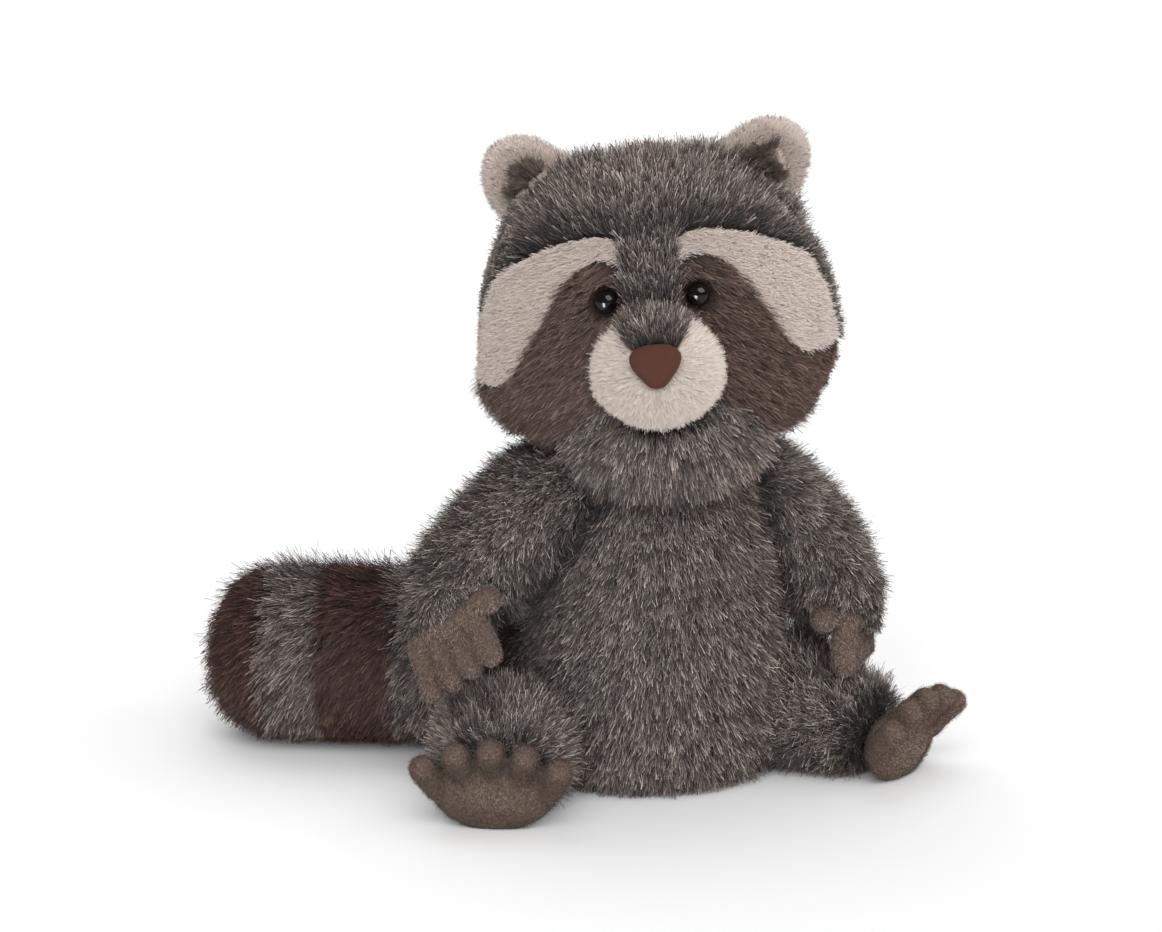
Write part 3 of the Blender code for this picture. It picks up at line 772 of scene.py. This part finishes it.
def inset_head(points, normals):
    """Deeper over the crown and on the raccoon's left."""
    local = normals @ head_axes
    depth = 4.0 * smooth_step(local[:, 2], 0.3, 0.9) + 3.0 * smooth_step(local[:, 0], 0.3, 0.9)
    return 0.8 + depth * beside_face(points)


def inset_arm(word, side, shoulder, wrist):
    """Deeper on an arm's outer side, by so much at the shoulder and the wrist, but less at the hand."""
    away = away_from(("hand_" + word,), 2, 16)

    def inset(points, normals):
        outer = smooth_step(0.85 * side * normals[:, 0] + 0.5 * normals[:, 2], 0.0, 0.8)
        share = smooth_step(points[:, 2] / MM, 60, 120)
        return 1.0 + outer * (wrist + (shoulder - wrist) * share) * (0.35 + 0.65 * away(points))

    return inset


def inset_mask(points, normals):
    """Deeper at the left cheek."""
    return 0.8 + 2.5 * smooth_step(to_head(points)[:, 0], 52, 68)


def inset_muzzle(points, normals):
    """Deeper below, where the muzzle meets the chin."""
    return 1.3 + 1.6 * smooth_step(-normals[:, 2], 0.3, 0.9)


def deeper(inset, amount):
    """The same inset with a little more."""

    def sum_of(points, normals):
        return by_place(inset, points, normals) + amount

    return sum_of


arm_insets = {
    "left": inset_arm("left", side=1, shoulder=8.5, wrist=10.5),
    "right": inset_arm("right", side=-1, shoulder=8.0, wrist=6.0),
}


# Share of the length by place

def length_near(node, near, far, share):
    """Shorter beside another node, from share at near to full length at far."""
    away = away_from((node,), near, far)

    def length(points, normals):
        return share + (1 - share) * away(points)

    return length


def length_head(points, normals):
    """Shorter beside the brow stripes and over the crown."""
    local = to_head(points)
    seam = np.where(local[:, 0] > 0, 1, 7) - 0.3 * local[:, 2]
    behind = smooth_step(local[:, 1] - seam, 0, 22)
    beside = smooth_step(np.abs(local[:, 0]), 45, 60) * (1 - behind)
    low = np.where(local[:, 0] > 0, 0.55, 0.75)
    return 1 - low * beside - 0.1 * smooth_step(local[:, 2], 40, 60)


def length_mask(points, normals):
    """Shorter at the left cheek."""
    return 1 - 0.45 * smooth_step(to_head(points)[:, 0], 48, 66)


def length_tail(points, normals):
    """Shorter where the tail lies on the ground."""
    return 0.5 + 0.5 * smooth_step(points[:, 2] / MM, 2, 26)


# Tone by place, with painted shade and painted light beside other parts

bridge_top = to_head(meshes["nose_bridge"][0])[:, 2].max()


def head_tone_and_painted_shade(points, normals):
    """Darker just above the brow stripes, which is painted shade where the long crown pile overhangs them,
    and just above the bridge.
    """
    local = to_head(points)
    across = np.abs(local[:, 0])
    front = smooth_step(-local[:, 1], 0, 30)
    above = local[:, 2] - np.interp(across, STRIPE_ACROSS, STRIPE_UP)
    # Painted shade in a band along the stripes' upper edge
    near = np.exp(-((above - 1) / 4.0) ** 2)
    over = (local[:, 2] - bridge_top) / 5
    strip = np.exp(-((over - 0.5) / 0.7) ** 2) * (across < 12)
    return -0.32 * near * front - 0.28 * strip * front


def tone_bridge(points, normals):
    """Darker towards the nose."""
    return 0.06 - 0.4 * smooth_step(-to_head(points)[:, 2], -2, 10)


def muzzle_parting_shade(points, normals):
    """Painted shade of a faint parting below the nose, darker along the middle."""
    local = to_head(points)
    below = smooth_step(-local[:, 2], 22, 25) * (1 - smooth_step(-local[:, 2], 27, 34))
    return -0.35 * np.exp(-(local[:, 0] / 1.3) ** 2) * below


def painted_shading_near(nodes, near, far, beside, open_tone=0.0):
    """Painted shade or painted light beside other nodes, from the tone beside them at near millimetres to the
    open one at far.
    """
    away = away_from(nodes, near, far)

    def tone(points, normals):
        return beside + (open_tone - beside) * away(points)

    return tone


def in_patch(word, inside=True):
    """Whether points lie in an ear's dark triangle, seen from the front of the head."""
    corners = np.array(EAR_PATCHES[word], float)

    def where(points):
        flat = to_head(points)[:, [0, 2]]
        sides = []
        for start, end in zip(corners, np.roll(corners, -1, axis=0)):
            step = end - start
            sides.append(step[0] * (flat[:, 1] - start[1]) - step[1] * (flat[:, 0] - start[0]))
        sides = np.array(sides)
        within = (sides > 0).all(axis=0) | (sides < 0).all(axis=0)
        return within == inside

    return where


# The forms

def make_stuffed_forms():
    insets = {"head": inset_head, "arm_left": arm_insets["left"], "arm_right": arm_insets["right"]}
    for node in ("head", "body", "arm_left", "arm_right", "leg_left", "leg_right", "chin_gusset"):
        inset = deeper(insets.get(node, Pile.inset), 0.8)
        make_form(node, "grey_fur", grey_back, inset, voxel=4.5)
    for node in ("tail_root", "tail_band_1", "tail_band_3"):
        make_form(node, "grey_fur", grey_back, inset=3.2, voxel=4.5)
    for node in ("tail_tip", "tail_band_2", "tail_band_4"):
        make_form(node, "brown_fur", brown_back, inset=3.2, voxel=4.5)


def make_face_forms():
    for word in WORDS:
        make_form("brow_stripe_" + word, "cream_fur", cream_back, inset=0.8, voxel=2.0, relax=3)
    for word in WORDS:
        make_form("mask_" + word, "mask_fur", brown_back, inset_mask, voxel=2.2, relax=3)
    make_form("nose_bridge", "grey_fur", grey_back, inset=0.6, voxel=1.5, relax=3)
    make_form("muzzle", "cream_fur", cream_back, inset_muzzle, voxel=1.8)


def make_side_forms(word):
    make_form("ear_" + word, "cream_fur", cream_back, inset=2.0, voxel=1.5)
    make_form("inner_ear_" + word, "inner_ear_fur", brown_back, inset=0.3, voxel=1.2, relax=2)
    make_form("hand_" + word, "velour", velour_back, inset=0.1, voxel=1.0, relax=1)
    make_form("foot_" + word, "velour", velour_back, inset=0.1, voxel=1.2, relax=2)


# The pile

def grow_trunk():
    # Painted shade darkens the body's pile in the crease beside the arms
    body = Pile(
        grey_pile, 6.8, comb_body, lift=34, clump=1.4, clumping=0.22, vary=0.35, scatter=0.26, clear=1.5,
        tone=painted_shading_near(("arm_left", "arm_right"), 2, 8, beside=-0.4),
    )
    # Painted shade darkens the head's pile just above the brow stripes
    head = Pile(
        grey_pile, 6.8, comb_head, lift=34, clump=1.4, clumping=0.2, vary=0.35, scatter=0.3, clear=0.8,
        tone=head_tone_and_painted_shade, length_at=length_head, keep_clear=eye_spots, inset=inset_head,
    )
    grow_pile("body", 1, 166000, body)
    grow_pile("head", 2, 146000, head)


def grow_limbs(word, seed):
    # Painted shade darkens the arm's pile beside the body, and the leg's beside its foot
    arm = Pile(
        grey_pile, 7, comb_along(ARM_ROUTES[word]), lift=38, scatter=0.36, clump=1.6, clumping=0.28,
        vary=0.35, clear=1.5, inset=arm_insets[word], tone=painted_shading_near(("body",), 2, 8, beside=-0.4),
        length_at=length_near("hand_" + word, 3, 12, 0.45),
    )
    leg = Pile(
        grey_pile, 7, comb_leg(word), lift=40, scatter=0.46, clump=1.6, clumping=0.28, vary=0.35,
        length_at=length_near("foot_" + word, 2, 10, 0.5),
        tone=painted_shading_near(("foot_" + word,), 3, 16, beside=-0.2, open_tone=0.04),
    )
    grow_pile("arm_" + word, seed, 58000, arm)
    grow_pile("leg_" + word, seed + 1, 34000, leg)


def grow_face(word, seed):
    mask = Pile(
        mask_pile, 6, comb_sideways(0.75), lift=30, clear=0.9, clump=1.5, clumping=0.25, vary=0.35,
        width=0.26, keep_clear=eye_spots, inset=inset_mask, length_at=length_mask,
    )
    stripe = Pile(
        stripe_pile, 3.2, comb_sideways(0.6), lift=55, clear=1.5, clump=0.8, clumping=0.05, width=0.26,
        scatter=0.2, spread=0.07,
    )
    ear = Pile(
        stripe_pile, 2.8, comb_ear, lift=54, clear=1.5, clump=0.8, clumping=0.05, width=0.28, scatter=0.2,
        spread=0.07, inset=1.7,
    )
    patch = Pile(inner_pile, 5, comb_ear, clear=1.5, inset=0.3, width=0.26, where=in_patch(word))
    rim = Pile(
        stripe_pile, 2.8, comb_ear, lift=50, clear=1.5, inset=0.3, width=0.28, spread=0.07,
        where=in_patch(word, inside=False),
    )
    grow_pile("mask_" + word, seed + 2, 22000, mask)
    grow_pile("brow_stripe_" + word, seed + 3, 23000, stripe)
    grow_pile("ear_" + word, seed + 4, 17000, ear)
    grow_pile("inner_ear_" + word, seed + 5, 9000, patch)
    grow_pile("inner_ear_" + word, seed + 8, 9000, rim, name="inner_ear_" + word + "_rim_pile")


def grow_velour(word, seed):
    for node, step, count, comb in (
        ("hand_" + word, 6, 16000, comb_down),
        ("foot_" + word, 7, 17000, comb_along(FOOT_ROUTES[word])),
    ):
        # Painted shade darkens the strands deep in the folds between fingers and toes
        velour = Pile(
            velour_pile, 1.0, comb, lift=50, clear=0.6, clump=1.0, clumping=0.1, width=0.22, inset=0.2,
            crease=0.8, shade=7,
        )
        grow_pile(node, seed + step, count, velour)


def grow_snout():
    bridge = Pile(
        grey_pile, 5.2, comb_bridge, lift=48, clear=1.5, clump=1.4, clumping=0.3, scatter=0.35, vary=0.35,
        inset=0.2, keep_clear=eye_spots, tone=tone_bridge,
    )
    # Painted shade marks a parting below the nose
    muzzle = Pile(
        cream_pile, 3.3, comb_muzzle, lift=38, clear=1.5, clump=1.0, clumping=0.12, scatter=0.16, droop=0,
        width=0.18, blunt=0.4, spread=0.13, inset=inset_muzzle, keep_clear=eye_spots, tone=muzzle_parting_shade,
    )
    # Painted light lightens the chin's pile beside the muzzle, against the shade under it
    chin = Pile(
        grey_pile, 8, comb_chin, lift=48, clear=0.6, clump=1.5, clumping=0.25, vary=0.35,
        tone=painted_shading_near(("muzzle",), 2, 12, beside=0.12),
    )
    grow_pile("nose_bridge", 30, 5000, bridge)
    grow_pile("muzzle", 31, 47000, muzzle)
    grow_pile("chin_gusset", 32, 22000, chin)


def grow_tail():
    for seed, node, count, material in (
        (40, "tail_tip", 27000, brown_pile),
        (41, "tail_band_1", 22000, grey_pile),
        (42, "tail_band_2", 26000, brown_pile),
        (43, "tail_band_3", 23000, grey_pile),
        (44, "tail_band_4", 18000, brown_pile),
        (45, "tail_root", 18000, grey_pile),
    ):
        tail = Pile(
            material, 8.8, comb_tail, lift=30, droop=2.0, scatter=0.27, clump=1.8, clumping=0.3, vary=0.35,
            inset=2.6, length_at=length_tail,
        )
        grow_pile(node, seed, count, tail)


# The object

make_stuffed_forms()
make_face_forms()
for word in WORDS:
    make_side_forms(word)
grow_trunk()
for seed, word in ((10, "left"), (20, "right")):
    grow_limbs(word, seed)
    grow_face(word, seed)
    grow_velour(word, seed)
grow_snout()
grow_tail()
make_form("nose", "suede", suede_material(), inset=0.0, voxel=0.7, relax=4)
gloss = eye_material()
for word in WORDS:
    make_form("eye_" + word, "eye_gloss", gloss, inset=0.0, voxel=0.5, relax=2)


# Floor, lights and camera

def make_floor():
    mesh = bpy.data.meshes.new("floor")
    half = 6.0
    corners = [(-half, -half, 0), (half, -half, 0), (half, half, 0), (-half, half, 0)]
    mesh.from_pydata(corners, [], [(0, 1, 2, 3)])
    floor = bpy.data.objects.new("floor", mesh)
    bpy.context.scene.collection.objects.link(floor)
    nodes = Nodes("floor_paint")
    soft = nodes.noise(3, 2)
    paint = nodes.ramp(soft, [(0.0, (0.84, 0.84, 0.84, 1)), (1.0, (0.87, 0.87, 0.87, 1))])
    path = nodes.add("ShaderNodeLightPath")
    seen = nodes.mix(path.outputs["Is Camera Ray"], paint, (0.9, 0.9, 0.9, 1))
    nodes.link(seen, nodes.shader.inputs["Base Color"])
    nodes.shade(Roughness=0.9, Specular_IOR_Level=0.1)
    mesh.materials.append(nodes.material)


def make_world():
    """White for the camera, a plain level for the object and a dim one for reflections."""
    world = bpy.data.worlds.new("studio")
    bpy.context.scene.world = world
    world.use_nodes = True
    tree = world.node_tree
    lit = tree.nodes["Background"]
    mirrored = tree.nodes.new("ShaderNodeBackground")
    shown = tree.nodes.new("ShaderNodeBackground")
    for background, strength in ((lit, 0.55), (mirrored, 0.15), (shown, 1.0)):
        background.inputs["Color"].default_value = (1, 1, 1, 1)
        background.inputs["Strength"].default_value = strength
    path = tree.nodes.new("ShaderNodeLightPath")
    gloss = tree.nodes.new("ShaderNodeMixShader")
    tree.links.new(path.outputs["Is Glossy Ray"], gloss.inputs["Fac"])
    tree.links.new(lit.outputs["Background"], gloss.inputs[1])
    tree.links.new(mirrored.outputs["Background"], gloss.inputs[2])
    mix = tree.nodes.new("ShaderNodeMixShader")
    tree.links.new(path.outputs["Is Camera Ray"], mix.inputs["Fac"])
    tree.links.new(gloss.outputs["Shader"], mix.inputs[1])
    tree.links.new(shown.outputs["Background"], mix.inputs[2])
    tree.links.new(mix.outputs["Shader"], tree.nodes["World Output"].inputs["Surface"])


def add_light(name, kind, place, aim):
    data = bpy.data.lights.new(name, kind)
    light = bpy.data.objects.new(name, data)
    bpy.context.scene.collection.objects.link(light)
    light.rotation_euler = (Vector(aim) - Vector(place)).to_track_quat("-Z", "Y").to_euler()
    return light


def soft_sun(name, place, strength, spread):
    """A wide soft light from the side of place, equal over the whole floor."""
    light = add_light(name, "SUN", place, (0, 0, 0))
    light.data.energy = strength
    light.data.angle = math.radians(spread)
    light.visible_glossy = False


def catch_light(name, place, size, brightness):
    """A soft box that is seen only as a small reflection in the eyes."""
    light = add_light(name, "AREA", place, FACE_AIM)
    light.location = place
    light.data.shape = "RECTANGLE"
    light.data.size, light.data.size_y = size
    light.data.energy = brightness * math.pi * size[0] * size[1]
    light.visible_diffuse = False
    light.visible_camera = False


def make_camera():
    level = math.cos(CAMERA_RISE)
    back = Vector((math.sin(CAMERA_TURN) * level, -math.cos(CAMERA_TURN) * level, math.sin(CAMERA_RISE)))
    right = Vector((math.cos(CAMERA_TURN), math.sin(CAMERA_TURN), 0))
    up = back.cross(right)
    target = right * CAMERA_AIM[0] + up * CAMERA_AIM[1]
    data = bpy.data.cameras.new("camera")
    data.lens = CAMERA_LENS
    data.sensor_width = 36
    data.clip_start = 0.05
    camera = bpy.data.objects.new("camera", data)
    bpy.context.scene.collection.objects.link(camera)
    pose = Matrix((right, up, back)).transposed().to_4x4()
    pose.translation = target + back * CAMERA_DISTANCE
    camera.matrix_world = pose
    bpy.context.scene.camera = camera


make_floor()
make_world()
soft_sun("key", (-0.4, -0.85, 0.7), strength=1.9, spread=45)
soft_sun("fill", (0.7, -0.75, 0.45), strength=0.7, spread=60)
soft_sun("top", (0.1, 0.6, 1.0), strength=0.75, spread=60)
catch_light("catch_high", (0.2, -0.75, 0.95), size=(0.95, 0.85), brightness=4.5)
catch_light("catch_low", (-0.225, -0.26, 0.09), size=(0.1, 0.2), brightness=26.0)
make_camera()
bpy.context.scene.view_settings.view_transform = "Standard"
